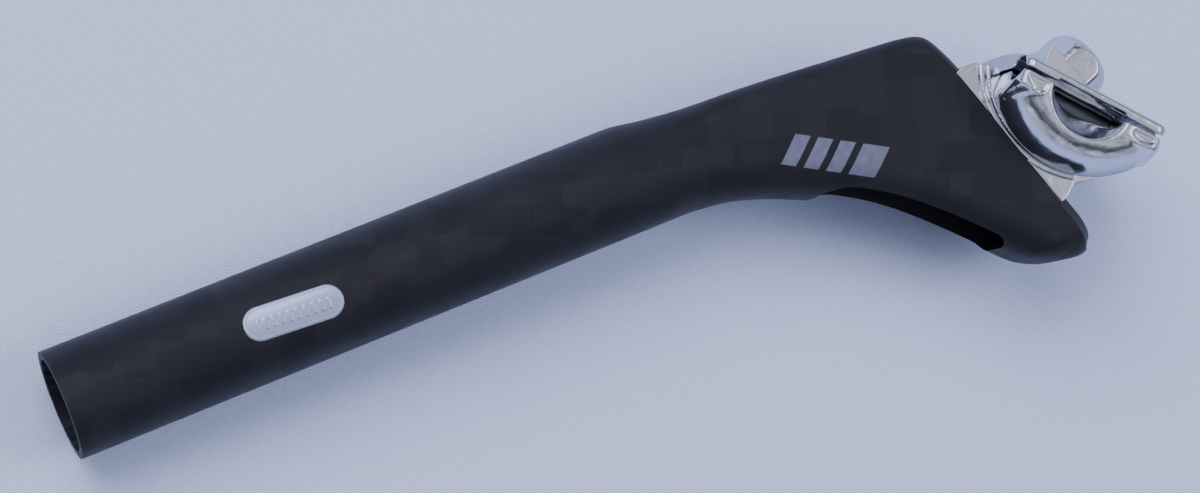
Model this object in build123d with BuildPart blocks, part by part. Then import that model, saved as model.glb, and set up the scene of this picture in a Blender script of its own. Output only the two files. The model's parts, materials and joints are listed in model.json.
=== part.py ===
"""Offset carbon seatpost with a single-bolt rocking saddle clamp.

Millimetres.  The post lies on its side, as it is stored: +X runs up the tube to the head, +Y is the
front of the bicycle, and +Z is across the bicycle, towards the side that carries the foil label.
The origin is the centre of the tube's open end.  z = 0 is the middle plane of every piece.
"""
import os
from math import cos, radians, sin

from build123d import *

# ---- driving dimensions: tube and arm ----
TUBE_R = 13.6            # 27.2 mm post
TUBE_BORE_R = 11.6
TUBE_END_X = 148.0       # the straight, round, insertable length
NECK_END_X = 178.0       # the round tube has become the flat-sided arm here
ARM_HALF = 12.2          # half the arm's width across the bicycle
TOP_EDGE_R = 6.0
TOP_CORNER_R = 7.0
NOSE_TIP_R = 4.0

# ---- driving dimensions: saddle seat at the head ----
SEAT_X, SEAT_Y = 235.7, -4.6    # where the seat's rim line starts
SEAT_ANGLE = -70.8              # direction of the seat, down and back, from +X
SEAT_RISE = 3.6                 # the seat's crest stands this far above its rim line
SEAT_WALL = 5.2                 # rim line to the inner face that the load plate bears on
NOSE_ARC_S = 49.9               # centre of the nose's round end, along the seat

# ---- driving dimensions: clamp ----
PIVOT_S, PIVOT_N = 23.2, 28.6   # tilt axis, along and above the seat's rim line
TILT = 23.5                     # the clamp is stored tipped back this far from level
TILT_BACK, TILT_FORWARD = 28.0, 15.0
SLIDE_UP, SLIDE_DOWN = 3.0, 6.0
CRADLE_HALF = 21.4
CRADLE_ARC_R = 22.7
ROCKER_ARC_R = 22.4
SKIRT_R = 27.4                  # the rocker's skirts reach down past the cradle's sides
RAIL_DROP = 11.0                # tilt axis to the plane through both saddle rails
RAIL_R, RAIL_HALF_GAP = 3.5, 22.0
CLAMP_HALF_WIDTH = 26.8
CLAMP_FRONT, CLAMP_BACK = -19.6, 22.4
PARTING = 0.4                   # half the gap between rocker and upper clamp
PIVOT_WASHER_R, PIVOT_WASHER_HALF = 9.3, 9.0
WASHER_FLAT = -0.6              # the pivot washer's flat top, from the tilt axis
NUT_ACROSS, NUT_HEIGHT, NUT_DOME_R, NUT_EDGE_R = 16.6, 8.8, 9.2, 4.8
NUT_THREAD_TOP = 6.4            # blind, so that the bolt's end stays covered
BOLT_R, BOLT_LENGTH = 4.0, 44.0
HEAD_R, HEAD_HEIGHT = 6.5, 8.0
HEX_ACROSS, HEX_DEPTH = 6.0, 4.5
SLOT_HALF = 4.4
LOAD_PLATE_T, WASHER_T = 3.0, 1.6
SHIM_T, SLIDE_GAP = 0.6, 0.1

# ---- driving dimensions: openings and trim ----
ACCESS_S, ACCESS_LENGTH, ACCESS_WIDTH, ACCESS_CORNER_R = 23.1, 41.6, 18.2, 4.5
CAVITY_HALF = 9.2
LABEL_X, LABEL_Y, LABEL_SKEW = 57.2, -0.1, 3.6
LABEL_LENGTH, LABEL_WIDTH, LABEL_T = 25.0, 8.3, 0.12
MARK_X, MARK_Y, MARK_ANGLE = 186.6, -7.2, -28.4
MARK_HEIGHT, MARK_SLANT, MARK_T = 8.0, 3.0, 0.06
MARK_BARS = ((0.0, 4.0), (6.0, 4.0), (12.0, 4.0), (18.0, 7.0))     # start and width of each bar

# ---- driving dimensions: details of the clamp ----
WING_TOP, WING_N = 15.5, 10.9       # the cradle's wings, from its middle and above the rim line
CRADLE_WIDTH = 24.4
FORGING_LINES = (28.4, 26.5)    # radii, outermost first
SKIRT_Z = 14.2                      # outer foot of the rocker's skirt
EAR_R = 3.0
EAR_Z, EAR_FOOT_R, EAR_TAPER = 18.0, 28.2, 22.0     # the ears' outer walls lean in from here
EAR_FEET = (((-31, -3), (-31, -17.5), (-21, -18.7), (-13, -19.2), (-7, -18.6), (-7, -3)),
            ((8, -3), (8, -18.6), (15, -19.2), (22, -18.4), (31, -16), (31, -3)))
WINDOW_BACK, WINDOW_FRONT, WINDOW_DEPTH = 10.4, -9.6, 3.5
WINDOW_INNER_Z, SILL_Z, SILL_TAPER = 17.4, 19.6, 44
SILL_SETBACK = 5.8              # the sill is this much shorter than the window at each end
BOWL_SHIFT = 1.3
KEEL_HALF_LENGTH, KEEL_HALF_WIDTH, KEEL_DEPTH = 12.0, 15.6, 2.2
PLATE_EDGE, PLATE_CROWN = 2.8, 6.6  # upper clamp's height over the rails' plane, at its edge and middle

os.makedirs("parts", exist_ok=True)


def tilted_frame(origin, angle):
    """Frame with x along the given direction in the side view, y outward and z across."""
    direction = (cos(radians(angle)), sin(radians(angle)), 0)
    return Plane(origin=origin, x_dir=direction, z_dir=(0, 0, 1))


def across(frame, x):
    """Plane square to a frame's x: its own x runs across (towards -Z) and its y outward."""
    return Plane(origin=frame.from_local_coords(Vector(x, 0, 0)), x_dir=(0, 0, -1), z_dir=frame.x_dir)


def plan(frame, y):
    """Plane square to a frame's y: its own x runs along the frame and its y across (-Z)."""
    return Plane(origin=frame.from_local_coords(Vector(0, y, 0)), x_dir=frame.x_dir, z_dir=frame.y_dir)


def write(piece, name):
    piece.part.label = name
    export_step(piece.part, f"parts/{name}.step")


SEAT = tilted_frame((SEAT_X, SEAT_Y, 0), SEAT_ANGLE)
PIVOT = SEAT.from_local_coords(Vector(PIVOT_S, PIVOT_N, 0))
CLAMP = tilted_frame(PIVOT, SEAT_ANGLE + TILT)
CROWN_AXIS = Axis(PIVOT, CLAMP.y_dir)
CROWN_AXIS_SEAT = Axis(PIVOT, SEAT.y_dir)


def seat_point(s, n):
    """Side-view point given along and above the seat's rim line."""
    point = SEAT.from_local_coords(Vector(s, n, 0))
    return (point.X, point.Y)


# ---- carbon body: tube, neck, arm and seat in one moulding ----
UNDERSIDE = [(NECK_END_X, -15.6), (189, -19.4), (201, -24.6), (213, -30.9), (223, -38.1), (231.5, -46.2)]
NOSE_UNDER = (241.2, -55.8)
NECK_TOP, NECK_BOTTOM = 10.8, -15.6
NOSE_END = NOSE_ARC_S + ARM_HALF
CREST_START = -11.0
TIP_N = -6.4
RIM_CUT = SEAT_RISE - 0.2       # the seat's flanks slope at 45 degrees

LABEL = Plane(origin=(LABEL_X, LABEL_Y, 0), z_dir=(0, 0, 1),
              x_dir=(cos(radians(LABEL_SKEW)), -sin(radians(LABEL_SKEW)), 0))


def tube_patch(length, width, thickness):
    """Stadium-shaped piece of the tube's outer skin, on the +Z side."""
    tube = Pos(LABEL_X, 0, 0) * Rot(0, 90, 0)
    skin = tube * Cylinder(TUBE_R, 2 * length) - tube * Cylinder(TUBE_R - thickness, 2 * length)
    return extrude(LABEL * SlotOverall(length, width), amount=2 * TUBE_R) & skin


label_bed = tube_patch(LABEL_LENGTH + 0.1, LABEL_WIDTH + 0.1, LABEL_T + 0.02)
label_skin = tube_patch(LABEL_LENGTH, LABEL_WIDTH, LABEL_T)

with BuildPart() as carbon_body:
    with BuildSketch(Plane.XY):
        with BuildLine():
            top = Line((NECK_END_X - 12, NECK_TOP + 0.75), seat_point(CREST_START, SEAT_RISE))
            crest = Line(top @ 1, seat_point(NOSE_END, SEAT_RISE))
            tip = Line(crest @ 1, seat_point(NOSE_END, TIP_N))
            Line(tip @ 1, NOSE_UNDER)
            under = Spline(NOSE_UNDER, *reversed(UNDERSIDE))
            Polyline(under @ 1, (NECK_END_X - 12, NECK_BOTTOM + 1.6), top @ 0)
        make_face()
    extrude(amount=ARM_HALF, both=True)
    for corner, radius in ((seat_point(CREST_START, SEAT_RISE), TOP_CORNER_R),
                           (seat_point(NOSE_END, TIP_N), NOSE_TIP_R)):
        upright = carbon_body.edges().filter_by(Axis.Z)
        fillet(upright.sort_by_distance((*corner, 0))[0], radius=radius)
    # the nose is round seen from above
    with BuildSketch(plan(SEAT, -150)):
        with Locations((NOSE_ARC_S - 150, 0)):
            Rectangle(300, 2 * ARM_HALF)
        with Locations((NOSE_ARC_S, 0)):
            Circle(ARM_HALF)
    extrude(amount=300, mode=Mode.INTERSECT)
    # 45 degree flanks along both sides of the seat and round its nose
    crest_face = carbon_body.faces().sort_by_distance((*seat_point(PIVOT_S, SEAT_RISE), 0))[0]
    chamfer(crest_face.edges().filter_by(lambda edge: edge.length > 2 * ARM_HALF + 1), length=RIM_CUT)
    # round tube and its neck
    with BuildSketch(Plane.YZ):
        Circle(TUBE_R)
    extrude(amount=TUBE_END_X)
    with BuildSketch(Plane.YZ.offset(TUBE_END_X)):
        Circle(TUBE_R)
    with BuildSketch(Plane.YZ.offset(NECK_END_X)):
        with Locations(((NECK_TOP + NECK_BOTTOM) / 2, 0)):
            RectangleRounded(NECK_TOP - NECK_BOTTOM - 0.3, 2 * ARM_HALF - 0.3, TOP_EDGE_R)
    loft()
    # hollow: tube bore, then the arm's cavity, open to each other
    with BuildSketch(Plane.YZ):
        Circle(TUBE_BORE_R)
    extrude(amount=TUBE_END_X, mode=Mode.SUBTRACT)
    with BuildSketch(Plane.XY):
        with BuildLine():
            Polyline((TUBE_END_X - 4, 8.6), (NECK_END_X, 7.4), seat_point(-7.5, -SEAT_WALL),
                     seat_point(47.5, -SEAT_WALL), seat_point(47.5, -10.5), (231.0, -42.2),
                     (222.0, -33.8), (212.0, -26.6), (200.0, -20.3), (188.0, -15.4),
                     (TUBE_END_X - 4, -8.6), close=True)
        make_face()
    extrude(amount=CAVITY_HALF, both=True, mode=Mode.SUBTRACT)
    # tool opening through the underside, and the bolt's slot through the seat
    with BuildSketch(plan(SEAT, -SEAT_WALL)):
        with Locations((ACCESS_S, 0)):
            RectangleRounded(ACCESS_LENGTH, ACCESS_WIDTH, ACCESS_CORNER_R)
    extrude(amount=-60, mode=Mode.SUBTRACT)
    with BuildSketch(plan(SEAT, -SEAT_WALL - 4)):
        with Locations((PIVOT_S + (SLIDE_DOWN - SLIDE_UP) / 2, 0)):
            SlotOverall(SLIDE_UP + SLIDE_DOWN + 2 * SLOT_HALF, 2 * SLOT_HALF)
    extrude(amount=20, mode=Mode.SUBTRACT)
    add(label_bed, mode=Mode.SUBTRACT)
write(carbon_body, "carbon_body")

# ---- trim: foil label and a plain slanted-bar mark on each side of the arm ----
with BuildPart() as foil_label:
    add(label_skin)
write(foil_label, "foil_label")

MARK = tilted_frame((MARK_X, MARK_Y, 0), MARK_ANGLE)
for side, name in ((1, "side_mark_left"), (-1, "side_mark_right")):
    with BuildPart() as side_mark:
        with BuildSketch(MARK.offset(side * (ARM_HALF + 0.01))):
            for start, width in MARK_BARS:
                with Locations((start, 0)):
                    Polygon((0, -MARK_HEIGHT / 2), (width, -MARK_HEIGHT / 2),
                            (width + MARK_SLANT, MARK_HEIGHT / 2), (MARK_SLANT, MARK_HEIGHT / 2), align=None)
        extrude(amount=side * MARK_T)
    write(side_mark, name)

# ---- cradle and its liner: they straddle the seat's crest and slide along it ----


def crest_outline(offset):
    """Corners of the seat's crest and flanks, grown outward by an offset, in an across() plane."""
    rim, crest_half = ARM_HALF + 0.41 * offset, ARM_HALF - RIM_CUT + 0.41 * offset
    low, high = SEAT_RISE - RIM_CUT, SEAT_RISE + offset
    return [(-rim, low), (-rim, -20), (rim, -20), (rim, low), (crest_half, high), (-crest_half, high)]


with BuildPart() as cradle_liner:
    with BuildSketch(across(SEAT, PIVOT_S)):
        Polygon(*crest_outline(SLIDE_GAP + SHIM_T), align=None)
        Polygon(*crest_outline(SLIDE_GAP), align=None, mode=Mode.SUBTRACT)
        with Locations((0, -10)):
            Rectangle(60, 20.9, mode=Mode.SUBTRACT)
    extrude(amount=CRADLE_HALF - 0.3, both=True)
    with BuildSketch(plan(SEAT, 0)):
        with Locations((PIVOT_S, 0)):
            Circle(SLOT_HALF + 0.4)
    extrude(amount=20, mode=Mode.SUBTRACT)
write(cradle_liner, "cradle_liner")

with BuildPart() as cradle:
    with BuildSketch(SEAT):
        with BuildLine():
            Polyline((PIVOT_S - CRADLE_HALF, 0.9), (PIVOT_S + CRADLE_HALF, 0.9), (PIVOT_S + CRADLE_HALF, 3.2),
                     (PIVOT_S + CRADLE_HALF - 1.2, 6.6), (PIVOT_S + WING_TOP, WING_N), (PIVOT_S, WING_N),
                     (PIVOT_S - WING_TOP, WING_N), (PIVOT_S - CRADLE_HALF + 1.2, 6.6),
                     (PIVOT_S - CRADLE_HALF, 3.2), close=True)
        make_face()
        with Locations((PIVOT_S, PIVOT_N)):
            Circle(CRADLE_ARC_R, mode=Mode.SUBTRACT)
    extrude(amount=CRADLE_WIDTH / 2, both=True)
    with BuildSketch(across(SEAT, PIVOT_S)):
        Polygon(*crest_outline(SLIDE_GAP + SHIM_T), align=None)
    extrude(amount=CRADLE_HALF + 1, both=True, mode=Mode.SUBTRACT)
    with BuildSketch(plan(SEAT, 0)):
        with Locations((PIVOT_S, 0)):
            Circle(BOLT_R + 0.3)
    extrude(amount=20, mode=Mode.SUBTRACT)
    # fine forging lines on both sides, concentric with the arc
    for side in (-1, 1):
        with BuildSketch(SEAT.offset(side * CRADLE_WIDTH / 2)):
            with Locations((PIVOT_S, PIVOT_N)):
                for radius in FORGING_LINES:
                    Circle(radius + 0.25)
                    Circle(radius - 0.25, mode=Mode.SUBTRACT)
        extrude(amount=-side * 0.35, mode=Mode.SUBTRACT)
write(cradle, "cradle")

# ---- rocker: half-moon lower rail clamp that rolls in the cradle about the nut's axis ----
bolt_fan = Sketch() + [
    Pos(0, 0) * Rot(0, 0, angle) * Pos(0, -20) * Rectangle(2 * SLOT_HALF, 40)
    for angle in (-TILT_BACK, 0, TILT_FORWARD)
]
bolt_way = extrude(CLAMP * make_hull(bolt_fan.edges()), amount=SLOT_HALF, both=True)

WINDOW_TOP, WINDOW_SILL = -RAIL_DROP + 6, -RAIL_DROP - WINDOW_DEPTH


def window_outline(setback):
    """Corners of the window in the clamp's side view, drawn in at both ends by a setback."""
    front, back = WINDOW_FRONT + setback, WINDOW_BACK - setback
    return [(front, WINDOW_TOP), (front, WINDOW_SILL), (back, WINDOW_SILL), (back, WINDOW_TOP)]


# the four ears are fuller than the bowl, so that they close round the ends of the rail grooves
with BuildPart() as ears:
    with BuildSketch(CLAMP.offset(EAR_Z)):
        with Locations((BOWL_SHIFT, 0)):
            Circle(EAR_FOOT_R)
    extrude(amount=CLAMP_HALF_WIDTH - EAR_Z, taper=EAR_TAPER)
    with BuildSketch(CLAMP.offset(EAR_Z)):
        for outline in EAR_FEET:
            Polygon(*outline, align=None)
    extrude(amount=CLAMP_HALF_WIDTH - EAR_Z, taper=EAR_TAPER, mode=Mode.INTERSECT)
    mirror(about=CLAMP)

with BuildPart() as rocker:
    # bowl, turned about an axis a little behind the tilt axis
    with BuildSketch(across(CLAMP, BOWL_SHIFT)):
        with BuildLine():
            outer = Spline((SKIRT_Z, -SKIRT_R), (20.6, -25.6), (25.0, -22.4), (CLAMP_HALF_WIDTH, -17.5))
            Polyline(outer @ 1, (CLAMP_HALF_WIDTH, 0), (0, 0), (0, -SKIRT_R), outer @ 0)
        make_face()
        mirror(about=Plane.YZ)
    revolve(axis=Axis(CLAMP.from_local_coords(Vector(BOWL_SHIFT, 0, 0)), (0, 0, 1)))
    add(ears.part)
    # keep the half-moon below the parting plane, with rounded ends
    with BuildSketch(plan(CLAMP, -RAIL_DROP - PARTING)):
        with Locations(((CLAMP_FRONT + CLAMP_BACK) / 2, 0)):
            RectangleRounded(CLAMP_BACK - CLAMP_FRONT, 2 * CLAMP_HALF_WIDTH, EAR_R)
    extrude(amount=-40, mode=Mode.INTERSECT)
    # bearing arc between the skirts, that rolls in the cradle
    with BuildSketch(CLAMP):
        Circle(60)
        Circle(ROCKER_ARC_R, mode=Mode.SUBTRACT)
    extrude(amount=SKIRT_Z - 1.6, both=True, mode=Mode.SUBTRACT)
    # grooves for the two saddle rails
    with BuildSketch(across(CLAMP, 0)):
        with Locations((RAIL_HALF_GAP, -RAIL_DROP), (-RAIL_HALF_GAP, -RAIL_DROP)):
            Circle(RAIL_R)
    extrude(amount=40, both=True, mode=Mode.SUBTRACT)
    # window between the ears, with a broad sloping sill
    for side in (-1, 1):
        with BuildSketch(CLAMP.offset(side * WINDOW_INNER_Z)) as window:
            Polygon(*window_outline(0), align=None)
            fillet(window.vertices().group_by(Axis.Y)[0], radius=2.6)
        extrude(amount=side * 20, mode=Mode.SUBTRACT)
        with BuildSketch(CLAMP.offset(side * SILL_Z)) as sill:
            Polygon(*window_outline(SILL_SETBACK), align=None)
            fillet(sill.vertices().group_by(Axis.Y)[0], radius=3.6)
        extrude(amount=side * 8, taper=-SILL_TAPER, mode=Mode.SUBTRACT)
    # recess that the upper clamp's keel sits in
    with BuildSketch(plan(CLAMP, -RAIL_DROP)):
        with Locations((0, 0)):
            Rectangle(2 * KEEL_HALF_LENGTH + 4.4, 2 * KEEL_HALF_WIDTH + 0.8)
    extrude(amount=-KEEL_DEPTH - 0.5, mode=Mode.SUBTRACT)
    add(bolt_way, mode=Mode.SUBTRACT)
write(rocker, "rocker")

# ---- upper clamp: crowned plate that rides on the barrel nut ----
with BuildPart() as upper_clamp:
    with BuildSketch(across(CLAMP, 0)):
        with BuildLine():
            crown = ThreePointArc((CLAMP_HALF_WIDTH, -RAIL_DROP + PLATE_EDGE), (0, -RAIL_DROP + PLATE_CROWN),
                                  (-CLAMP_HALF_WIDTH, -RAIL_DROP + PLATE_EDGE))
            Polyline(crown @ 1, (-CLAMP_HALF_WIDTH, -RAIL_DROP + PARTING),
                     (CLAMP_HALF_WIDTH, -RAIL_DROP + PARTING), crown @ 0)
        make_face()
    extrude(amount=CLAMP_BACK + 10, both=True)
    with BuildSketch(plan(CLAMP, -RAIL_DROP)):
        with Locations(((CLAMP_FRONT + CLAMP_BACK) / 2, 0)):
            RectangleRounded(CLAMP_BACK - CLAMP_FRONT, 2 * CLAMP_HALF_WIDTH, EAR_R)
    extrude(amount=40, mode=Mode.INTERSECT)
    fillet(upper_clamp.edges().filter_by_position(CROWN_AXIS, -RAIL_DROP + PLATE_EDGE - 0.1, 0), radius=1.2)
    with BuildSketch(plan(CLAMP, -RAIL_DROP + PARTING)):
        Rectangle(2 * KEEL_HALF_LENGTH, 2 * KEEL_HALF_WIDTH)
    extrude(amount=-KEEL_DEPTH - PARTING)
    with BuildSketch(across(CLAMP, 0)):
        with Locations((RAIL_HALF_GAP, -RAIL_DROP), (-RAIL_HALF_GAP, -RAIL_DROP)):
            Circle(RAIL_R)
    extrude(amount=40, both=True, mode=Mode.SUBTRACT)
    # relief over the rocker's windows
    with BuildSketch(across(CLAMP, (WINDOW_BACK + WINDOW_FRONT) / 2)):
        with Locations((0, -RAIL_DROP)):
            Rectangle(60, 2.4)
            Rectangle(2 * WINDOW_INNER_Z, 2.4, mode=Mode.SUBTRACT)
    extrude(amount=(WINDOW_BACK - WINDOW_FRONT) / 2, both=True, mode=Mode.SUBTRACT)
    with BuildSketch(CLAMP):
        Circle(PIVOT_WASHER_R + 0.06)
    extrude(amount=PIVOT_WASHER_HALF + 0.3, both=True, mode=Mode.SUBTRACT)
    add(bolt_way, mode=Mode.SUBTRACT)
write(upper_clamp, "upper_clamp")

# ---- fasteners: half-round pivot washer, hexagon nut, bolt and the washers inside the arm ----
with BuildPart() as pivot_washer:
    with BuildSketch(SEAT):
        with Locations((PIVOT_S, PIVOT_N)):
            Circle(PIVOT_WASHER_R)
        with Locations((PIVOT_S, PIVOT_N + WASHER_FLAT + 20)):
            Rectangle(60, 40, mode=Mode.SUBTRACT)
    extrude(amount=PIVOT_WASHER_HALF, both=True)
    with BuildSketch(plan(SEAT, PIVOT_N)):
        with Locations((PIVOT_S, 0)):
            Circle(BOLT_R + 0.4)
    extrude(amount=20, both=True, mode=Mode.SUBTRACT)
write(pivot_washer, "pivot_washer")

with BuildPart() as dome:
    with BuildSketch(plan(SEAT, PIVOT_N + WASHER_FLAT)):
        with Locations((PIVOT_S, 0)):
            Circle(NUT_DOME_R)
    extrude(amount=NUT_HEIGHT)
    fillet(dome.edges().filter_by(GeomType.CIRCLE).sort_by(CROWN_AXIS_SEAT)[-1], radius=NUT_EDGE_R)

with BuildPart() as clamp_nut:
    with BuildSketch(plan(SEAT, PIVOT_N + WASHER_FLAT)):
        with Locations((PIVOT_S, 0)):
            RegularPolygon(NUT_ACROSS / 2, 6, major_radius=False)
    extrude(amount=NUT_HEIGHT)
    add(dome.part, mode=Mode.INTERSECT)
    with BuildSketch(plan(SEAT, PIVOT_N)):
        with Locations((PIVOT_S, 0)):
            Circle(BOLT_R + 0.05)
    extrude(amount=NUT_THREAD_TOP, both=True, mode=Mode.SUBTRACT)
write(clamp_nut, "clamp_nut")

PLATE_N = -SEAT_WALL - SLIDE_GAP - LOAD_PLATE_T
HEAD_N = PLATE_N - WASHER_T

with BuildPart() as load_plate:
    with BuildSketch(plan(SEAT, PLATE_N)):
        with Locations((PIVOT_S, 0)):
            SlotOverall(26, 15)
            Circle(BOLT_R + 0.3, mode=Mode.SUBTRACT)
    extrude(amount=LOAD_PLATE_T)
write(load_plate, "load_plate")

with BuildPart() as bolt_washer:
    with BuildSketch(plan(SEAT, HEAD_N)):
        with Locations((PIVOT_S, 0)):
            Circle(7.4)
            Circle(BOLT_R + 0.3, mode=Mode.SUBTRACT)
    extrude(amount=WASHER_T)
write(bolt_washer, "bolt_washer")

with BuildPart() as clamp_bolt:
    with BuildSketch(plan(SEAT, HEAD_N - 0.02)):
        with Locations((PIVOT_S, 0)):
            Circle(BOLT_R)
    extrude(amount=BOLT_LENGTH)
    with BuildSketch(plan(SEAT, HEAD_N - 0.02)):
        with Locations((PIVOT_S, 0)):
            Circle(HEAD_R)
    extrude(amount=-HEAD_HEIGHT)
    chamfer(clamp_bolt.edges().filter_by(GeomType.CIRCLE).sort_by(CROWN_AXIS_SEAT)[0], length=0.5)
    with BuildSketch(plan(SEAT, HEAD_N - 0.02 - HEAD_HEIGHT)):
        with Locations((PIVOT_S, 0)):
            RegularPolygon(HEX_ACROSS / 2, 6, major_radius=False)
    extrude(amount=HEX_DEPTH, mode=Mode.SUBTRACT)
write(clamp_bolt, "clamp_bolt")
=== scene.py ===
import json
from math import cos, pi, sin, sqrt

import bmesh
import bpy
from mathutils import Matrix, Vector


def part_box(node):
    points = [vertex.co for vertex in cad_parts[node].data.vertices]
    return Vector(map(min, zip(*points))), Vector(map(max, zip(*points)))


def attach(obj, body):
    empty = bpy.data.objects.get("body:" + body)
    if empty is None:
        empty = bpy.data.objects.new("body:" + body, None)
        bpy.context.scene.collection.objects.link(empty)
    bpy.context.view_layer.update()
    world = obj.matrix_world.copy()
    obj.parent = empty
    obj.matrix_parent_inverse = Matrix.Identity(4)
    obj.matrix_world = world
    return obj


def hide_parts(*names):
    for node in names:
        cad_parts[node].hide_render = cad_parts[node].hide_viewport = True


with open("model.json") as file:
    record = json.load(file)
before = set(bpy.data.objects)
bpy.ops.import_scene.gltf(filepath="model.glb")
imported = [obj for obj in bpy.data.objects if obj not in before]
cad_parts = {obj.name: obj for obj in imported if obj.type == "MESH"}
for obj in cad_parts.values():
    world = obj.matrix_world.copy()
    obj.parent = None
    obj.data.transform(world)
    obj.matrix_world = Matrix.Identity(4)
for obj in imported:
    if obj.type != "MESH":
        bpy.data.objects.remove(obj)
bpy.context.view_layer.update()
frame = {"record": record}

# ---- places that everything else is worked out from (metres, the record's frame) ----
MM = 0.001
joints = {joint["name"]: joint for joint in frame["record"]["behaviour"]["joints"]}
mounts = {mount["name"]: mount for mount in frame["record"]["mounts"]}
PIVOT = Vector(joints["saddle_tilt"]["pos_m"])
ALONG_SEAT = Vector(joints["setback_slide"]["axis"])
OFF_SEAT = Vector(joints["nut_climb"]["axis"])
ALONG_CLAMP = Vector(mounts["rail_clamp_left"]["axis"])
OFF_CLAMP = Vector((-ALONG_CLAMP.y, ALONG_CLAMP.x, 0))
ACROSS = Vector((0, 0, 1))
TUBE_R = mounts["seat_tube"]["dims"]["r_mm"] * MM
REST_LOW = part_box("rocker")[0][2]          # the clamp's side touches the floor here

# ---- the carbon body's shape ----
PIVOT_S, PIVOT_N = 23.2 * MM, 28.6 * MM    # tilt axis, along and above the seat's rim line
SEAT_START = PIVOT - PIVOT_S * ALONG_SEAT - PIVOT_N * OFF_SEAT
SEAT_RISE = 3.6 * MM                       # the seat's crest above its rim line
ARM_HALF = 12.2 * MM                       # half the arm's width
BORE_R = 11.6 * MM
BORE_END = 146 * MM
EASED_EDGE = 0.4 * MM
NOSE_ARC_S = 49.9 * MM                     # centre of the nose's round end, along the seat
CAVITY_HALF = 9.0 * MM
TUBE_ROUND_TO, ARM_SQUARE_FROM = 148, 182  # millimetres along the tube
ACCESS = {"centre_s": 23.1 * MM, "length": 41.6 * MM, "width": 18.2 * MM, "corner": 4.5 * MM}
BOLT_SLOT = {"centre_s": PIVOT_S + 1.5 * MM, "length": 17.8 * MM, "width": 8.8 * MM, "corner": 4.39 * MM}

# ---- the clamp's shape ----
WINDOW_INNER_Z, WINDOW_HALF = 18.6 * MM, 16 * MM
WINDOW_LOW, WINDOW_HIGH = -15.2 * MM, -6.5 * MM
EAR_FACE_Z = 26.1
# corners of the ears' pockets, (along, above) from the tilt axis in millimetres, as EAR_FACE_Z is
FRONT_POCKET = ((-17.8, -12.4), (-11.4, -12.4), (-11.8, -14.8), (-13.8, -16.2), (-16.6, -14.6))
BACK_POCKET = ((13.6, -12.4), (20.6, -12.4), (19.2, -14.2), (16.6, -15.0), (14.2, -14.2))

# ---- trim; the mark's bars are (start, width) along it, in millimetres ----
LABEL = Vector((57.2, -0.1, 0)) * MM        # middle of the foil label
LABEL_SKEW = -0.063
LABEL_SIZE = (25 * MM, 8.3 * MM)
MARK = Vector((186.6, -7.2, 0)) * MM        # start of the slanted bars
MARK_ALONG = Vector((cos(0.4957), -sin(0.4957), 0))
MARK_BARS = ((0, 4), (6, 4), (12, 4), (18, 7))
MARK_HEIGHT, MARK_SLANT = 8.0, 3.0
SKIN_LIFT = 0.03 * MM


def seat_point(s, n):
    """Point in the middle plane, given along and above the seat's rim line."""
    return SEAT_START + s * ALONG_SEAT + n * OFF_SEAT


# ---- meshes ----
def new_object(name, mesh, body, material, smooth=True):
    """Wrap a mesh as an object that moves with a CAD body."""
    obj = bpy.data.objects.new(name, mesh)
    bpy.context.collection.objects.link(obj)
    mesh.materials.append(material)
    if smooth:
        mesh.shade_smooth()
    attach(obj, body)
    return obj


def ring_mesh(name, rings, close_ends=True):
    """Closed skin over rings of points that all have the same count."""
    mesh = bmesh.new()
    rows = [[mesh.verts.new(point) for point in ring] for ring in rings]
    count = len(rows[0])
    for near, far in zip(rows, rows[1:]):
        for i in range(count):
            j = (i + 1) % count
            mesh.faces.new((near[i], near[j], far[j], far[i]))
    if close_ends:
        mesh.faces.new(reversed(rows[0]))
        mesh.faces.new(rows[-1])
    bmesh.ops.remove_doubles(mesh, verts=mesh.verts, dist=2e-6)
    bmesh.ops.dissolve_degenerate(mesh, dist=2e-6, edges=mesh.edges)
    bmesh.ops.recalc_face_normals(mesh, faces=mesh.faces)
    data = bpy.data.meshes.new(name)
    mesh.to_mesh(data)
    mesh.free()
    return data


def applied(obj):
    """Mesh of an object with its modifiers applied."""
    depsgraph = bpy.context.evaluated_depsgraph_get()
    return bpy.data.meshes.new_from_object(obj.evaluated_get(depsgraph))


def cut(mesh, cutters, operation="DIFFERENCE"):
    """A mesh with other meshes taken away from it, or joined to it."""
    target = bpy.data.objects.new("work", mesh)
    bpy.context.collection.objects.link(target)
    tools = []
    for cutter in cutters:
        tool = bpy.data.objects.new("cutter", cutter)
        bpy.context.collection.objects.link(tool)
        tools.append(tool)
        step = target.modifiers.new("cut", "BOOLEAN")
        step.operation, step.solver, step.object = operation, "EXACT", tool
    result = applied(target)
    for obj in [target] + tools:
        bpy.data.objects.remove(obj)
    return result


def smoothstep(low, high, x):
    t = min(max((x - low) / (high - low), 0), 1)
    return t * t * (3 - 2 * t)


def mix(a, b, t):
    return a + (b - a) * t


def table_value(table, x):
    """Smooth curve through (x, value) pairs (a monotone cubic)."""
    i = next((k for k in range(len(table) - 1) if x <= table[k + 1][0]), len(table) - 2)
    (x0, y0), (x1, y1) = table[i], table[i + 1]
    slope = (y1 - y0) / (x1 - x0)
    before = (y0 - table[i - 1][1]) / (x0 - table[i - 1][0]) if i else slope
    after = (table[i + 2][1] - y1) / (table[i + 2][0] - x1) if i + 2 < len(table) else slope
    m0 = 0 if before * slope <= 0 else 2 * before * slope / (before + slope)
    m1 = 0 if after * slope <= 0 else 2 * after * slope / (after + slope)
    t, h = (x - x0) / (x1 - x0), x1 - x0
    return (y0 * (1 + 2 * t) * (1 - t) ** 2 + m0 * h * t * (1 - t) ** 2
            + y1 * t * t * (3 - 2 * t) + m1 * h * t * t * (t - 1))


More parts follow.
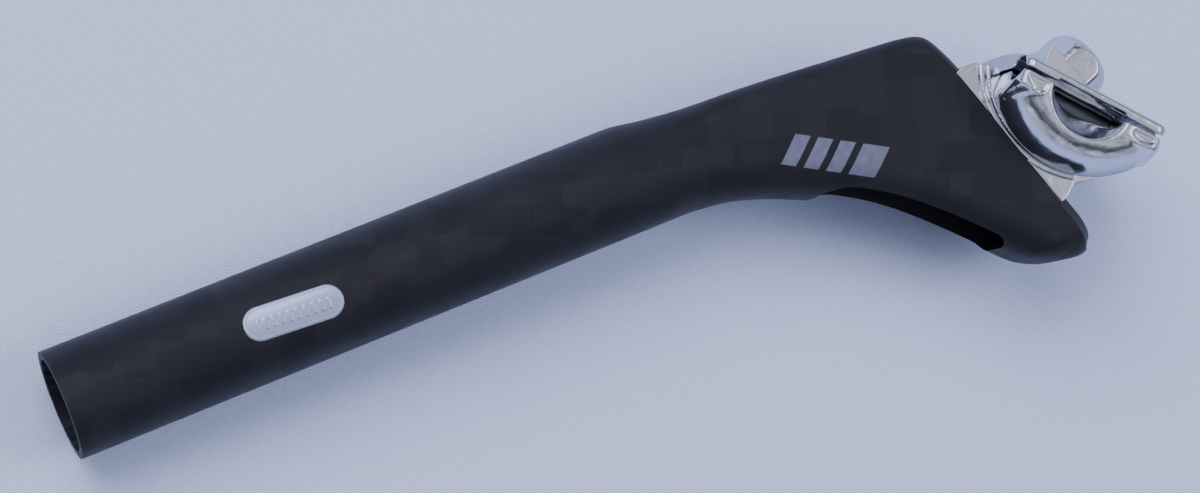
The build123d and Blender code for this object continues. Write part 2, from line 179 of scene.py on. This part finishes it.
# ---- carbon body: a skin over ribs that fan from the tube round to the nose ----
# middle line of the top and underside, (along the tube, height) in millimetres
SPINE_TOP = [(140, 13.6), (148, 13.6), (159, 12.2), (170, 11.1), (181, 10.7), (200, 9.6)]
SPINE_UNDER = [(140, -13.6), (148, -13.6), (160, -13.6), (170, -14.4), (180, -16.8), (190, -20.7),
               (200, -25.2)]


def rib(top, under, half_width, top_edge, under_edge, power, steps=12):
    """Closed section between a top and an under point: a box with soft long edges.

    top_edge is (across, down) and under_edge is a radius.  The top edges are round at power 2
    and bevels at power 1."""
    up = (top - under).normalized()
    right_side = []
    for k in range(steps + 1):
        angle = k / steps * pi / 2
        across, down = sin(angle) ** (2 / power), cos(angle) ** (2 / power)
        right_side.append((half_width - top_edge[0] * (1 - across), top - up * top_edge[1] * (1 - down)))
    for k in range(steps + 1):
        angle = (1 - k / steps) * pi / 2
        right_side.append((half_width - under_edge * (1 - sin(angle)),
                           under + up * under_edge * (1 - cos(angle))))
    right = [point + ACROSS * z for z, point in right_side]
    left = [point - ACROSS * z for z, point in reversed(right_side)]
    return right + left


def through(keys, t):
    """Smooth curve through keys (tuples of numbers) at a place t counted in keys."""
    i = min(int(t), len(keys) - 2)
    f = t - i
    last = len(keys) - 1
    p0, p1, p2, p3 = (keys[min(max(i + k, 0), last)] for k in (-1, 0, 1, 2))
    return [0.5 * (2 * b + (c - a) * f + (2 * a - 5 * b + 4 * c - d) * f ** 2
                   + (3 * b - a - 3 * c + d) * f ** 3)
            for a, b, c, d in zip(p0, p1, p2, p3)]


def body_stations():
    """(top, under, half width, top edge across, top edge down, under edge, power) from tube to nose."""
    stations = []
    for x in [k * 8 for k in range(18)] + [140 + k * 1.25 for k in range(41)]:
        top, under = (table_value(table, x) if x > TUBE_ROUND_TO else sign * TUBE_R / MM
                      for table, sign in ((SPINE_TOP, 1), (SPINE_UNDER, -1)))
        square = smoothstep(TUBE_ROUND_TO - 2, ARM_SQUARE_FROM, x)
        half = mix(TUBE_R, ARM_HALF, smoothstep(TUBE_ROUND_TO, ARM_SQUARE_FROM - 8, x))
        edge, under_edge = mix(TUBE_R, 6 * MM, square), mix(TUBE_R, 10.5 * MM, square)
        stations.append((Vector((x * MM, top * MM, 0)), Vector((x * MM, under * MM, 0)), half,
                         min(edge, half), edge, min(under_edge, half), 2))
    # the ribs fan round the corner and down the seat: (top x, y, under x, y, round edge size, power)
    crest = [seat_point(s * MM, SEAT_RISE) / MM for s in (-1, 4, 11, 20, 30, 40)]
    keys = [(190, 10.25, 190, -20.7, 6, 2), (202, 9.4, 199.5, -24.9, 6, 2), (213, 8.6, 206.5, -28.7, 5.8, 2),
            (222, 7.95, 211.5, -31.9, 5.5, 2), (228.6, 7.3, 215.3, -34.7, 5.1, 2),
            (232.6, 6.35, 218.2, -37.0, 4.7, 1.85), (235.4, 4.0, 220.7, -39.1, 4.2, 1.55)]
    unders = [(223.0, -41.1), (225.2, -43.1), (227.8, -45.5), (231.1, -48.7), (234.7, -52.1), (237.6, -54.9)]
    powers = (1.3, 1.12, 1, 1, 1, 1)
    keys += [(top.x, top.y, *under, mix(3.4, 4.2, (p - 1) / 0.6), p)
             for top, under, p in zip(crest, unders, powers)]
    nose = NOSE_ARC_S / MM
    ends = seat_point(NOSE_ARC_S, SEAT_RISE) / MM, seat_point(NOSE_ARC_S + 0.8 * MM, -13.2 * MM) / MM
    keys.append((ends[0].x, ends[0].y, ends[1].x, ends[1].y, 3.4, 1))
    for k in range(1, (len(keys) - 1) * 9 + 1):
        tx, ty, ux, uy, edge, power = through(keys, k / 9)
        under_edge = mix(10.5, 8.0, k / (len(keys) - 1) / 9)
        stations.append((Vector((tx, ty, 0)) * MM, Vector((ux, uy, 0)) * MM, ARM_HALF, edge * MM, edge * MM,
                         under_edge * MM, max(power, 1)))
    # round nose
    bottom = [(nose, -13.2), (nose + 2.4, -11.3), (nose + 5, -8.8), (nose + 7.4, -5.2), (nose + 8.9, -2.6),
              (nose + 9.7, -1.0), (nose + 10.4, 0.7)]
    crest_r, end_r, end_reach = 8.8, ARM_HALF / MM, 10.4
    for k in range(1, 41):
        reach = end_reach * sin(k / 40 * pi / 2)
        half = max(end_r * cos(k / 40 * pi / 2), 0.05)
        crest_half = sqrt(max(crest_r ** 2 - reach ** 2, 0))
        top_n = 3.6 - max(reach - crest_r, 0)
        under_n = table_value(bottom, nose + reach)
        lean = 0.8 * (1 - k / 40)
        split_n = max(0.2, (top_n + under_n) / 2)
        top = seat_point((nose + reach) * MM, top_n * MM)
        under = seat_point((nose + reach + lean) * MM, under_n * MM)
        stations.append((top, under, half * MM, max(half - crest_half, 0) * MM, (top_n - split_n) * MM,
                         min(8.0, half, 0.95 * (split_n - under_n)) * MM, 1))
    return stations


def opening(centre_s, length, width, corner, n, steps=10):
    """Rounded rectangle square to the seat's outward direction."""
    points = []
    for quarter, (sign_s, sign_z) in enumerate(((1, 1), (-1, 1), (-1, -1), (1, -1))):
        for k in range(steps + 1):
            angle = (quarter + k / steps) * pi / 2
            s = centre_s + sign_s * (length / 2 - corner) + corner * cos(angle)
            z = sign_z * (width / 2 - corner) + corner * sin(angle)
            points.append(seat_point(s, n) + ACROSS * z)
    return points


def circle(centre, x_dir, y_dir, radius, steps=96):
    return [centre + radius * (cos(2 * pi * k / steps) * x_dir + sin(2 * pi * k / steps) * y_dir)
            for k in range(steps)]


def bevelled(mesh, width, angle, segments=2):
    """A mesh with its sharp edges eased."""
    work = bpy.data.objects.new("work", mesh)
    bpy.context.collection.objects.link(work)
    ease = work.modifiers.new("ease", "BEVEL")
    ease.width, ease.segments, ease.limit_method, ease.angle_limit = width, segments, "ANGLE", angle
    ease.use_clamp_overlap = True
    result = applied(work)
    bpy.data.objects.remove(work)
    return result


def add_body(material):
    stations = body_stations()
    skin = ring_mesh("carbon_body_skin", [rib(top, under, half, (across, down), edge, power)
                                          for top, under, half, across, down, edge, power in stations])
    bore = ring_mesh("bore", [circle(Vector((x, 0, 0)), ACROSS, Vector((0, 1, 0)), BORE_R)
                              for x in (-5 * MM, BORE_END)])
    outline = [Vector((x * MM, y * MM, 0)) for x, y in
            ((144, 7.6), (178, 6.6), *(tuple((seat_point(s * MM, n * MM) / MM).xy) for s, n in
                                       ((-7.5, -5.2), (47.5, -5.2), (47.5, -10.5))),
             (231, -40.5), (222, -31.8), (212, -24.2), (200, -17.6), (188, -12.6), (170, -9), (144, -8.6))]
    cavity = ring_mesh("cavity", [[point + side * CAVITY_HALF * ACROSS for point in outline]
                                  for side in (-1, 1)])
    access = ring_mesh("access", [opening(n=n * MM, **ACCESS) for n in (-5.2, -70)])
    bolt_slot = ring_mesh("bolt_slot", [opening(n=n * MM, **BOLT_SLOT) for n in (-9.0, 20)])
    mesh = skin
    for cutter in (bore, cavity, access, bolt_slot):
        mesh = cut(mesh, [cutter])
    body = new_object("carbon_body_finish", bevelled(mesh, EASED_EDGE, 0.62), "post", material)
    body.data.set_sharp_from_angle(angle=0.7)
    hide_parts("carbon_body")
    return body


# ---- trim that follows the body's skin ----


def add_side_mark(body, side, node, material):
    """Four slanted bars printed on one side of the arm."""
    mesh = bmesh.new()
    rise = Vector((-MARK_ALONG.y, MARK_ALONG.x, 0))
    fine = 10
    for start, width in MARK_BARS:
        rows = []
        for i in range(fine + 1):
            row = []
            for j in range(fine + 1):
                along, high = start + width * i / fine + MARK_SLANT * j / fine, MARK_HEIGHT * (j / fine - 0.5)
                spot = MARK + (along * MARK_ALONG + high * rise) * MM
                _, point, normal, _ = body.ray_cast(spot + side * 30 * MM * ACROSS, -side * ACROSS)
                row.append(mesh.verts.new(point + normal * SKIN_LIFT))
            rows.append(row)
        for near, far in zip(rows, rows[1:]):
            for j in range(fine):
                face = (near[j], far[j], far[j + 1], near[j + 1])
                mesh.faces.new(face if side > 0 else reversed(face))
    data = bpy.data.meshes.new(node)
    mesh.to_mesh(data)
    mesh.free()
    mark = new_object(node + "_finish", data, "post", material)
    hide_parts(node)


def add_label(material):
    """Foil label on the tube, with a raised rim and a row of small embossed blocks."""
    length, width = LABEL_SIZE
    radius, straight = width / 2, (length - width) / 2
    mesh = bmesh.new()
    steps_u, steps_v = 150, 48
    grid = {}
    for i in range(steps_u + 1):
        u = (i / steps_u - 0.5) * length
        over = max(abs(u) - straight, 0)
        half = sqrt(max(radius ** 2 - over ** 2, 0)) + 1e-5
        for j in range(steps_v + 1):
            v = (j / steps_v * 2 - 1) * half
            to_edge = radius - sqrt(over ** 2 + v ** 2)
            rim = smoothstep(0, 0.25 * MM, to_edge), smoothstep(0.5 * MM, 0.8 * MM, to_edge)
            lift = 0.02 + 0.13 * rim[0] - 0.09 * rim[1]
            block = (u / MM + 100) % 2.0
            in_row = smoothstep(0.35, 0.5, block) - smoothstep(1.35, 1.5, block)
            in_band = 1 - smoothstep(1.2 * MM, 1.4 * MM, abs(v + 0.4 * MM))
            lift += 0.16 * in_row * in_band * (1 if -8.9 * MM < u < 9.1 * MM else 0)
            x = u * cos(LABEL_SKEW) - v * sin(LABEL_SKEW)
            y = u * sin(LABEL_SKEW) + v * cos(LABEL_SKEW) + LABEL.y
            angle = y / TUBE_R
            reach = TUBE_R + lift * MM
            grid[i, j] = mesh.verts.new((LABEL.x + x, reach * sin(angle), reach * cos(angle)))
    for i in range(steps_u):
        for j in range(steps_v):
            mesh.faces.new((grid[i, j], grid[i + 1, j], grid[i + 1, j + 1], grid[i, j + 1]))
    data = bpy.data.meshes.new("foil_label_skin")
    mesh.to_mesh(data)
    mesh.free()
    label = new_object("foil_label_finish", data, "post", material)
    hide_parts("foil_label")


# ---- clamp pieces: forged metal with soft edges ----
def node_mesh(node):
    source = bpy.data.objects[node]
    mesh = source.data.copy()
    mesh.transform(source.matrix_world)
    mesh.materials.clear()
    return mesh


def clamp_point(t, m, z):
    """Point given along and above the saddle rails' clamp, from the tilt axis."""
    return PIVOT + t * MM * ALONG_CLAMP + m * MM * OFF_CLAMP + z * MM * ACROSS


def ear_pockets():
    """Shallow pockets in the four ears of the rocker."""
    cutters = []
    for side in (-1, 1):
        for corners in (FRONT_POCKET, BACK_POCKET):
            cutters.append(ring_mesh("pocket", [[clamp_point(t, m, side * z) for t, m in corners]
                                                for z in (EAR_FACE_Z, EAR_FACE_Z + 4)]))
    return cutters


def in_rail_window(place):
    """Whether a place, from the tilt axis, is inside the clamp's side windows."""
    return (abs(place.z) < WINDOW_INNER_Z and abs(place.dot(ALONG_CLAMP)) < WINDOW_HALF
            and WINDOW_LOW < place.dot(OFF_CLAMP) < WINDOW_HIGH)


def forged(node, body, material, voxel, soften, cutters=(), keep=0.5, shade_in_windows=None):
    """The CAD piece as a forging: the same walls, with every edge rounded over; faces inside the rail windows
    can take a darker metal as painted shade.
    """
    mesh = node_mesh(node)
    if cutters:
        mesh = cut(mesh, cutters)
    work = bpy.data.objects.new("work", mesh)
    bpy.context.collection.objects.link(work)
    even = work.modifiers.new("even", "REMESH")
    even.mode, even.voxel_size = "VOXEL", voxel
    calm = work.modifiers.new("calm", "SMOOTH")
    calm.factor, calm.iterations = 0.5, soften
    thin = work.modifiers.new("thin", "DECIMATE")
    thin.ratio = keep
    mesh = applied(work)
    bpy.data.objects.remove(work)
    piece = new_object(node + "_finish", mesh, body, material)
    # faces inside the side windows get the darker metal: painted shade where the windows' insides fall dark
    if shade_in_windows:
        mesh.materials.append(shade_in_windows)
        for face in mesh.polygons:
            face.material_index = int(in_rail_window(face.center - PIVOT))
    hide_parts(node)
    return piece


# ---- materials ----
def new_material(name, colour, roughness, metallic=0.0, coat=0.0):
    material = bpy.data.materials.new(name)
    material.use_nodes = True
    tree = material.node_tree
    shader = tree.nodes["Principled BSDF"]
    shader.inputs["Base Color"].default_value = (*colour, 1)
    shader.inputs["Roughness"].default_value = roughness
    shader.inputs["Metallic"].default_value = metallic
    shader.inputs["Coat Weight"].default_value = coat
    shader.inputs["Coat Roughness"].default_value = 0.12
    return material, tree, shader


def place_in_metres(tree, scale=(1, 1, 1), turn=(0, 0, 0)):
    """Object coordinates, stretched and turned."""
    spot = tree.nodes.new("ShaderNodeTexCoord")
    mapping = tree.nodes.new("ShaderNodeMapping")
    mapping.inputs["Scale"].default_value = scale
    mapping.inputs["Rotation"].default_value = turn
    tree.links.new(spot.outputs["Object"], mapping.inputs["Vector"])
    return mapping.outputs["Vector"]


def noise(tree, vector, scale, detail=2.0):
    node = tree.nodes.new("ShaderNodeTexNoise")
    node.inputs["Scale"].default_value = scale
    node.inputs["Detail"].default_value = detail
    tree.links.new(vector, node.inputs["Vector"])
    return node.outputs["Fac"]


def remap(tree, value, low, high, from_low=0.3, from_high=0.7):
    node = tree.nodes.new("ShaderNodeMapRange")
    for name, number in (("From Min", from_low), ("From Max", from_high), ("To Min", low), ("To Max", high)):
        node.inputs[name].default_value = number
    tree.links.new(value, node.inputs["Value"])
    return node.outputs["Result"]


def two_tone(tree, value, dark, light, low=0.3, high=0.7):
    """Colour that runs from dark to light as the value rises."""
    ramp = tree.nodes.new("ShaderNodeValToRGB")
    ramp.color_ramp.elements[0].position, ramp.color_ramp.elements[0].color = low, (*dark, 1)
    ramp.color_ramp.elements[1].position, ramp.color_ramp.elements[1].color = high, (*light, 1)
    tree.links.new(value, ramp.inputs["Fac"])
    return ramp.outputs["Color"]


def bump(tree, shader, height, distance, strength=1.0):
    node = tree.nodes.new("ShaderNodeBump")
    node.inputs["Distance"].default_value = distance
    node.inputs["Strength"].default_value = strength
    tree.links.new(height, node.inputs["Height"])
    tree.links.new(node.outputs["Normal"], shader.inputs["Normal"])


def carbon_finish():
    """Large tows laid as faint squares under a satin coat."""
    material, tree, shader = new_material("satin_carbon", (0.012, 0.012, 0.016), 0.5)
    shader.inputs["Specular IOR Level"].default_value = 0.22
    spot = place_in_metres(tree, turn=(0, 0, 0.35))
    squares = tree.nodes.new("ShaderNodeTexVoronoi")
    squares.distance = "CHEBYCHEV"
    squares.inputs["Scale"].default_value = 130
    squares.inputs["Randomness"].default_value = 0.35
    tree.links.new(spot, squares.inputs["Vector"])
    tone = tree.nodes.new("ShaderNodeSeparateColor")
    tree.links.new(squares.outputs["Color"], tone.inputs["Color"])
    dark, light = (0.0072, 0.0072, 0.0115), (0.0102, 0.0100, 0.0155)
    patches = two_tone(tree, tone.outputs["Red"], dark, light, 0.1, 0.9)
    tree.links.new(patches, shader.inputs["Base Color"])
    tree.links.new(remap(tree, tone.outputs["Green"], 0.46, 0.54, 0, 1), shader.inputs["Roughness"])
    bump(tree, shader, noise(tree, spot, 900), 0.00003, 0.35)
    return material


def chrome_finish():
    """Polished forging with fine drawn scratches."""
    material, tree, shader = new_material("chromed_forging", (0.62, 0.64, 0.72), 0.12, metallic=1.0)
    shader.inputs["Specular Tint"].default_value = (0.62, 0.64, 0.70, 1)
    spot = place_in_metres(tree)
    tree.links.new(remap(tree, noise(tree, spot, 260, 4), 0.10, 0.20), shader.inputs["Roughness"])
    waves = remap(tree, noise(tree, spot, 210, 3), 0, 1, 0, 1)
    fine = place_in_metres(tree, scale=(1, 1, 0.06), turn=(0, 0, 0.8))
    both = tree.nodes.new("ShaderNodeMath")
    both.operation, both.inputs[1].default_value = "MULTIPLY_ADD", 0.04
    tree.links.new(noise(tree, fine, 5200, 3), both.inputs[0])
    tree.links.new(waves, both.inputs[2])
    bump(tree, shader, both.outputs["Value"], 0.0003, 0.5)
    return material


def plain_metal(name, colour, low, high):
    material, tree, shader = new_material(name, colour, low, metallic=1.0)
    grain = noise(tree, place_in_metres(tree), 700, 3)
    tree.links.new(remap(tree, grain, low, high), shader.inputs["Roughness"])
    return material


def speckled(name, dark, light, low, high, scale):
    material, tree, shader = new_material(name, light, high)
    value = noise(tree, place_in_metres(tree), scale, 4)
    tree.links.new(two_tone(tree, value, dark, light), shader.inputs["Base Color"])
    tree.links.new(remap(tree, value, low, high), shader.inputs["Roughness"])
    return material


def cloth_finish():
    """Pale tightly woven cloth."""
    material, tree, shader = new_material("pale_cloth", (0.55, 0.59, 0.71), 0.95)
    heights = []
    for turn in (0.2, 0.2 + pi / 2):
        wave = tree.nodes.new("ShaderNodeTexWave")
        wave.inputs["Scale"].default_value = 420
        wave.inputs["Distortion"].default_value = 2.5
        wave.inputs["Detail Scale"].default_value = 3
        tree.links.new(place_in_metres(tree, turn=(0, 0, turn)), wave.inputs["Vector"])
        heights.append(wave.outputs["Fac"])
    weave = tree.nodes.new("ShaderNodeMath")
    weave.operation = "MAXIMUM"
    tree.links.new(heights[0], weave.inputs[0])
    tree.links.new(heights[1], weave.inputs[1])
    tree.links.new(two_tone(tree, weave.outputs["Value"], (0.32, 0.375, 0.58), (0.395, 0.455, 0.685), 0, 1),
                   shader.inputs["Base Color"])
    bump(tree, shader, weave.outputs["Value"], 0.0002, 0.5)
    return material


def dress(node, material):
    """Give a CAD piece that is shown as it is its finish."""
    obj = bpy.data.objects[node]
    obj.data.materials.clear()
    obj.data.materials.append(material)


# ---- camera ----
def add_camera():
    """Above and behind the open end of the tube, looking along it to the head."""
    image_width, focal_px = 1200, 3120
    place = Vector((-0.0796, 0.0001, 0.7395))
    right = Vector((0.88935, -0.37114, 0.26703))
    up = Vector((0.36067, 0.92842, 0.08918))
    data = bpy.data.cameras.new("camera")
    data.sensor_width = 36
    data.lens = data.sensor_width * focal_px / image_width
    data.clip_start, data.clip_end = 0.01, 20
    camera = bpy.data.objects.new("camera", data)
    back = right.cross(up).normalized()
    up = back.cross(right).normalized()
    turn = Matrix((right.normalized(), up, back)).transposed()
    camera.matrix_world = Matrix.Translation(place) @ turn.to_4x4()
    bpy.context.collection.objects.link(camera)
    bpy.context.scene.camera = camera


# ---- stage ----
def add_floor():
    """Flat pale cloth that the tube's open end and the clamp's side both rest on."""
    reach = 3.0
    slope = (REST_LOW + TUBE_R) / PIVOT.x
    mesh = bpy.data.meshes.new("floor")
    corners = [(x, y, -TUBE_R + slope * x - 0.0002) for x, y in
               ((-reach, -reach), (reach, -reach), (reach, reach), (-reach, reach))]
    mesh.from_pydata(corners, [], [(0, 1, 2, 3)])
    mesh.materials.append(cloth_finish())
    floor = bpy.data.objects.new("floor", mesh)
    bpy.context.collection.objects.link(floor)


def add_area(name, place, target, size, power, colour):
    data = bpy.data.lights.new(name, "AREA")
    data.shape = "RECTANGLE"
    data.size, data.size_y = size
    data.energy = power
    data.color = colour
    light = bpy.data.objects.new(name, data)
    light.location = place
    light.rotation_euler = (Vector(target) - Vector(place)).to_track_quat("-Z", "Y").to_euler()
    bpy.context.collection.objects.link(light)
    return light


def scaled(tree, value, factor):
    node = tree.nodes.new("ShaderNodeMath")
    node.operation, node.inputs[1].default_value = "MULTIPLY", factor
    tree.links.new(value, node.inputs[0])
    return node.outputs["Value"]


def combined(tree, first, second, operation):
    node = tree.nodes.new("ShaderNodeMath")
    node.operation = operation
    tree.links.new(first, node.inputs[0])
    tree.links.new(second, node.inputs[1])
    return node.outputs["Value"]


def glow(tree, direction, towards, width, brightness):
    """Soft patch of light around one direction of the room."""
    dot = tree.nodes.new("ShaderNodeVectorMath")
    dot.operation, dot.inputs[1].default_value = "DOT_PRODUCT", Vector(towards).normalized()
    tree.links.new(direction, dot.inputs[0])
    patch = tree.nodes.new("ShaderNodeMapRange")
    patch.interpolation_type = "SMOOTHSTEP"
    patch.inputs["From Min"].default_value = cos(width)
    patch.inputs["From Max"].default_value = cos(width * 0.7)
    tree.links.new(dot.outputs["Value"], patch.inputs["Value"])
    return scaled(tree, patch.outputs["Result"], brightness)


def room():
    """Dim room with pale low walls, a dark ceiling and two soft windows."""
    world = bpy.data.worlds.new("room")
    world.use_nodes = True
    tree = world.node_tree
    direction = tree.nodes.new("ShaderNodeTexCoord").outputs["Generated"]
    split = tree.nodes.new("ShaderNodeSeparateXYZ")
    tree.links.new(direction, split.inputs["Vector"])
    ramp = tree.nodes.new("ShaderNodeValToRGB")
    stops = ((0.0, (0.50, 0.53, 0.62)), (0.18, (0.66, 0.69, 0.80)), (0.40, (0.06, 0.065, 0.085)),
             (0.70, (0.52, 0.53, 0.61)), (1.0, (0.80, 0.82, 0.92)))
    while len(ramp.color_ramp.elements) < len(stops):
        ramp.color_ramp.elements.new(0.5)
    for element, (place, colour) in zip(ramp.color_ramp.elements, stops):
        element.position, element.color = place, (*colour, 1)
    tree.links.new(split.outputs["Z"], ramp.inputs["Fac"])
    clutter = remap(tree, noise(tree, direction, 4.5, 5), 0.15, 1.75)
    windows = combined(tree, glow(tree, direction, (-0.21, 0.62, 0.76), 0.55, 3.0),
                       glow(tree, direction, (0.72, -0.25, 0.65), 0.40, 2.0), "ADD")
    strength = combined(tree, combined(tree, windows, clutter, "MULTIPLY"), clutter, "ADD")
    background = tree.nodes["Background"]
    tree.links.new(ramp.outputs["Color"], background.inputs["Color"])
    tree.links.new(strength, background.inputs["Strength"])
    return world


def add_lights():
    middle = (0.15, -0.01, 0)
    key = add_area("key", (-0.1, 0.9, 1.1), middle, (1.1, 0.9), 25, (1.0, 0.98, 0.97))
    fill = add_area("fill", (1.0, -0.3, 0.9), middle, (0.5, 0.8), 9, (0.88, 0.91, 1.0))
    key.visible_glossy = fill.visible_glossy = False
    bpy.context.scene.world = room()


carbon, chrome = carbon_finish(), chrome_finish()
steel = plain_metal("plated_steel", (0.55, 0.57, 0.62), 0.22, 0.36)
# darker, duller metal for the faces inside the clamp's windows: painted shade
window_painted_shade = plain_metal("painted_shade_metal", (0.16, 0.165, 0.19), 0.40, 0.55)
body = add_body(carbon)
forged("rocker", "rocker", chrome, 0.28 * MM, 24, ear_pockets(), shade_in_windows=window_painted_shade)
forged("upper_clamp", "upper_clamp", chrome, 0.3 * MM, 5, shade_in_windows=window_painted_shade)
forged("cradle", "cradle", chrome, 0.22 * MM, 4)
forged("pivot_washer", "nut", steel, 0.25 * MM, 3)
forged("clamp_nut", "nut", chrome, 0.2 * MM, 4)
foil = plain_metal("brushed_foil", (0.52, 0.60, 0.84), 0.30, 0.40)
printed = speckled("grey_print", (0.062, 0.067, 0.118), (0.088, 0.094, 0.155), 0.4, 0.5, 500)
add_label(foil)
for side, node in ((1, "side_mark_left"), (-1, "side_mark_right")):
    add_side_mark(body, side, node, printed)
dress("cradle_liner", speckled("dark_liner", (0.02, 0.02, 0.022), (0.04, 0.04, 0.045), 0.5, 0.7, 800))
for node in ("load_plate", "bolt_washer", "clamp_bolt"):
    dress(node, steel)

add_camera()
add_floor()
add_lights()
